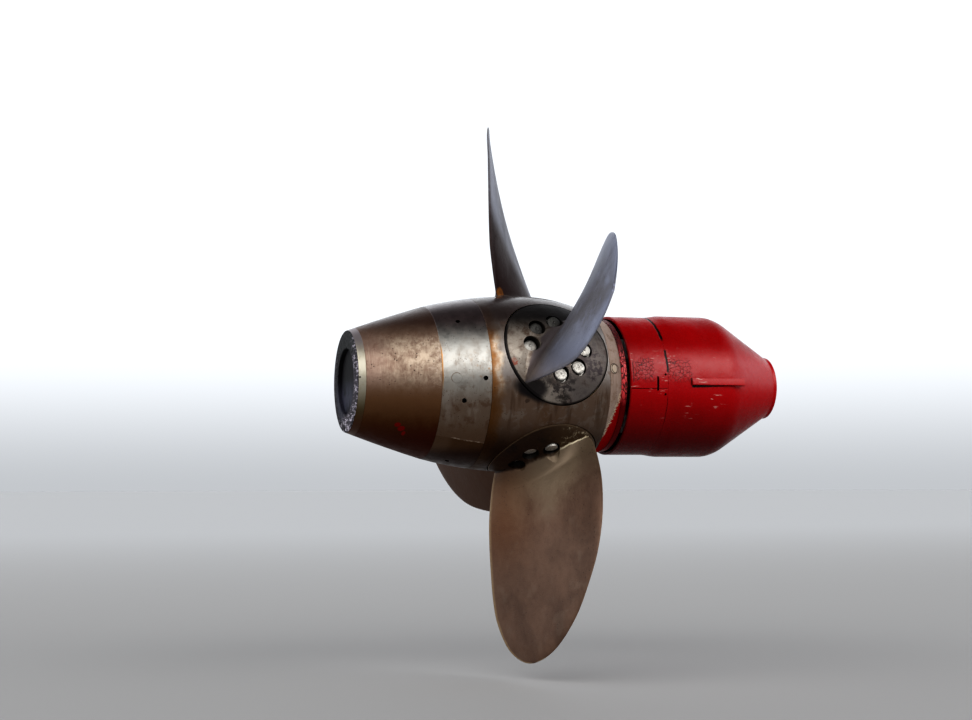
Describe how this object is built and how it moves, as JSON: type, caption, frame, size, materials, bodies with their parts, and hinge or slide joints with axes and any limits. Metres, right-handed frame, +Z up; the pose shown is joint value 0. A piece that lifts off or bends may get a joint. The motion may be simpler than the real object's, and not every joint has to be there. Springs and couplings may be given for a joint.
{
  "type": "ship propeller",
  "caption": "Controllable pitch ship propeller: turned hub with separate bolted blades on round feet, hub cone, tail shaft, split rope guard and red stern boss.",
  "frame": {"origin": "centre of the stern boss's flat forward face, on the shaft axis", "axes": "+X forward along the shaft, out of the boss's forward face; +Z up; +Y to the side away from the camera of the picture"},
  "size_m": [2.814, 3.3858, 3.3858],
  "materials": {
    "boss_paint": "glossy red antifouling paint",
    "bearing_bronze": "machined bronze",
    "fitting_steel": "machined steel",
    "flange_paint": "cracked red paint on steel",
    "scraped_ring": "scraped bronze with overspray",
    "hub_bronze": "brown patina",
    "bare_metal": "bare machined bronze",
    "cone_bronze": "dark bronze patina",
    "recess_plate": "dark and dull",
    "blade_bronze": "grey brown cast bronze"
  },
  "bodies": {
    "stern_frame": {"stern_boss": "boss_paint", "stern_bush": "bearing_bronze", "seal_housing": "fitting_steel", "rope_guard_upper": "boss_paint", "rope_guard_lower": "boss_paint", "boss_pad": "boss_paint"},
    "rotor": {"tail_shaft": "flange_paint", "shaft_liner": "bearing_bronze", "hub_front_ring": "scraped_ring", "hub_body": "hub_bronze", "servo_cylinder": "bare_metal", "hub_cone": "cone_bronze", "cone_end_ring": "bare_metal", "cone_end_plate": "recess_plate", "band_plug_1": "fitting_steel", "band_plug_2": "fitting_steel", "ring_plug_1": "fitting_steel", "ring_plug_2": "fitting_steel", "blade_bearing_1": "bearing_bronze", "blade_bearing_2": "bearing_bronze", "blade_bearing_3": "bearing_bronze", "blade_bearing_4": "bearing_bronze"},
    "blade_1_body": {"blade_1": "blade_bronze", "crank_ring_1": "fitting_steel"},
    "blade_2_body": {"blade_2": "blade_bronze", "crank_ring_2": "fitting_steel"},
    "blade_3_body": {"blade_3": "blade_bronze", "crank_ring_3": "fitting_steel"},
    "blade_4_body": {"blade_4": "blade_bronze", "crank_ring_4": "fitting_steel"}
  },
  "joints": [
    {"name": "shaft_spin", "type": "hinge", "parent": "stern_frame", "child": "rotor", "pos_m": [-1, 0, 0], "axis": [1, 0, 0], "continuous": true},
    {"name": "blade_1_pitch", "type": "hinge", "parent": "rotor", "child": "blade_1_body", "pos_m": [-1.62, 0, 0], "axis": [0, 0.3827, 0.9239], "range_deg": [-10, 42]},
    {"name": "blade_2_pitch", "type": "hinge", "parent": "rotor", "child": "blade_2_body", "pos_m": [-1.62, 0, 0], "axis": [0, 0.9239, -0.3827], "range_deg": [-10, 42]},
    {"name": "blade_3_pitch", "type": "hinge", "parent": "rotor", "child": "blade_3_body", "pos_m": [-1.62, 0, 0], "axis": [0, -0.3827, -0.9239], "range_deg": [-10, 42]},
    {"name": "blade_4_pitch", "type": "hinge", "parent": "rotor", "child": "blade_4_body", "pos_m": [-1.62, 0, 0], "axis": [0, -0.9239, 0.3827], "range_deg": [-10, 42]}
  ],
  "couplings": [
    {"joint": "blade_2_pitch", "follows": "blade_1_pitch", "ratio": 1},
    {"joint": "blade_3_pitch", "follows": "blade_1_pitch", "ratio": 1},
    {"joint": "blade_4_pitch", "follows": "blade_1_pitch", "ratio": 1}
  ]
}
